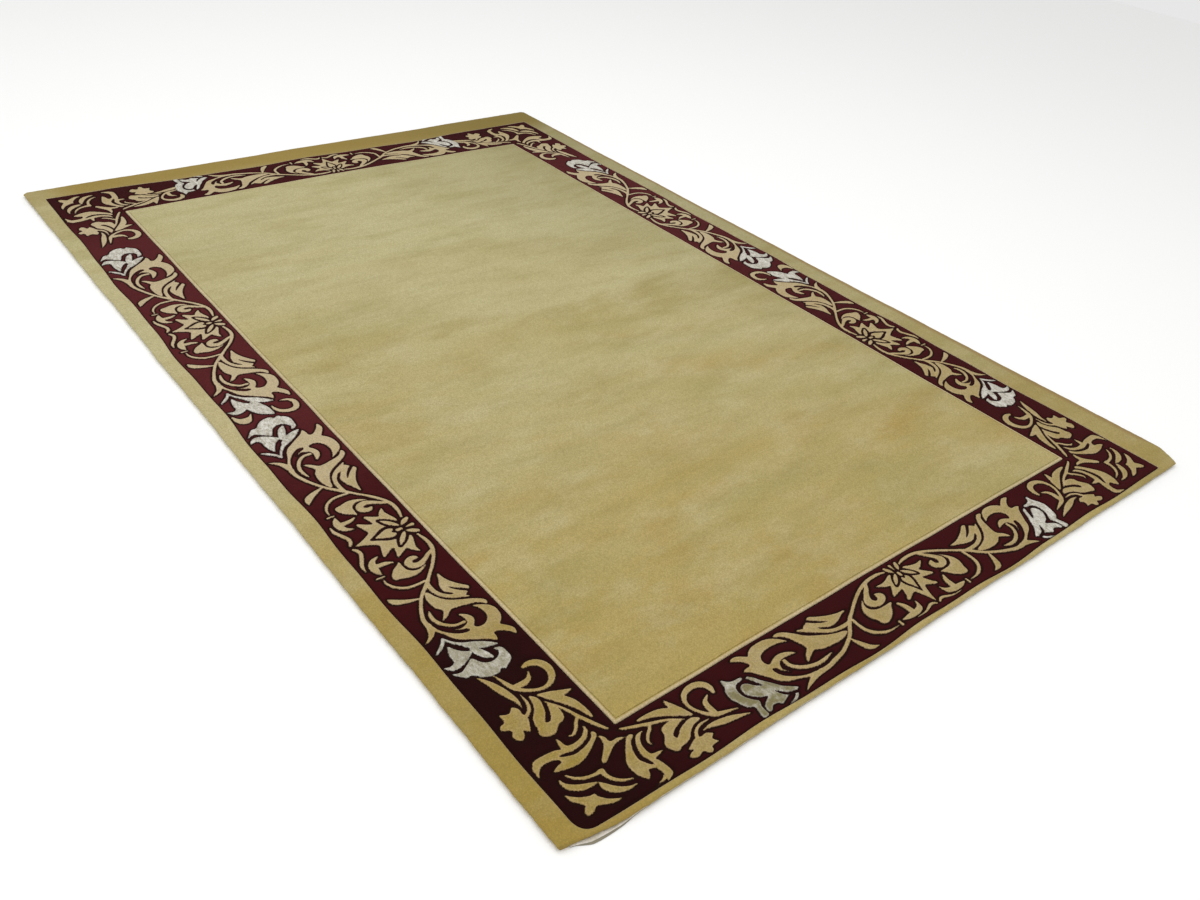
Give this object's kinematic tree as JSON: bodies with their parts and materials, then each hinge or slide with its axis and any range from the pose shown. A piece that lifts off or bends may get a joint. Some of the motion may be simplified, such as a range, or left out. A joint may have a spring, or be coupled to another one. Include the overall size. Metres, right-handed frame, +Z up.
{
  "type": "nepalese rug",
  "caption": "Hand-knotted wool rug lying flat, with a plain golden field, a wide carved burgundy border of scrolls and lilies, and a plain outer strip.",
  "frame": {"origin": "on the floor, under the middle of the rug", "axes": "+X across the rug, +Y along it towards the far end, +Z up from the floor"},
  "size_m": [2.0618, 2.9954, 0.013],
  "materials": {
    "wool_beige": "cut wool pile, golden beige",
    "wool_burgundy": "cut wool pile, dark burgundy",
    "silk_ivory": "glossy silk pile, ivory",
    "cotton_web": "plain woven cotton, off-white"
  },
  "bodies": {
    "root": {"rug_body": "wool_beige", "end_web": "cotton_web"}
  },
  "joints": []
}
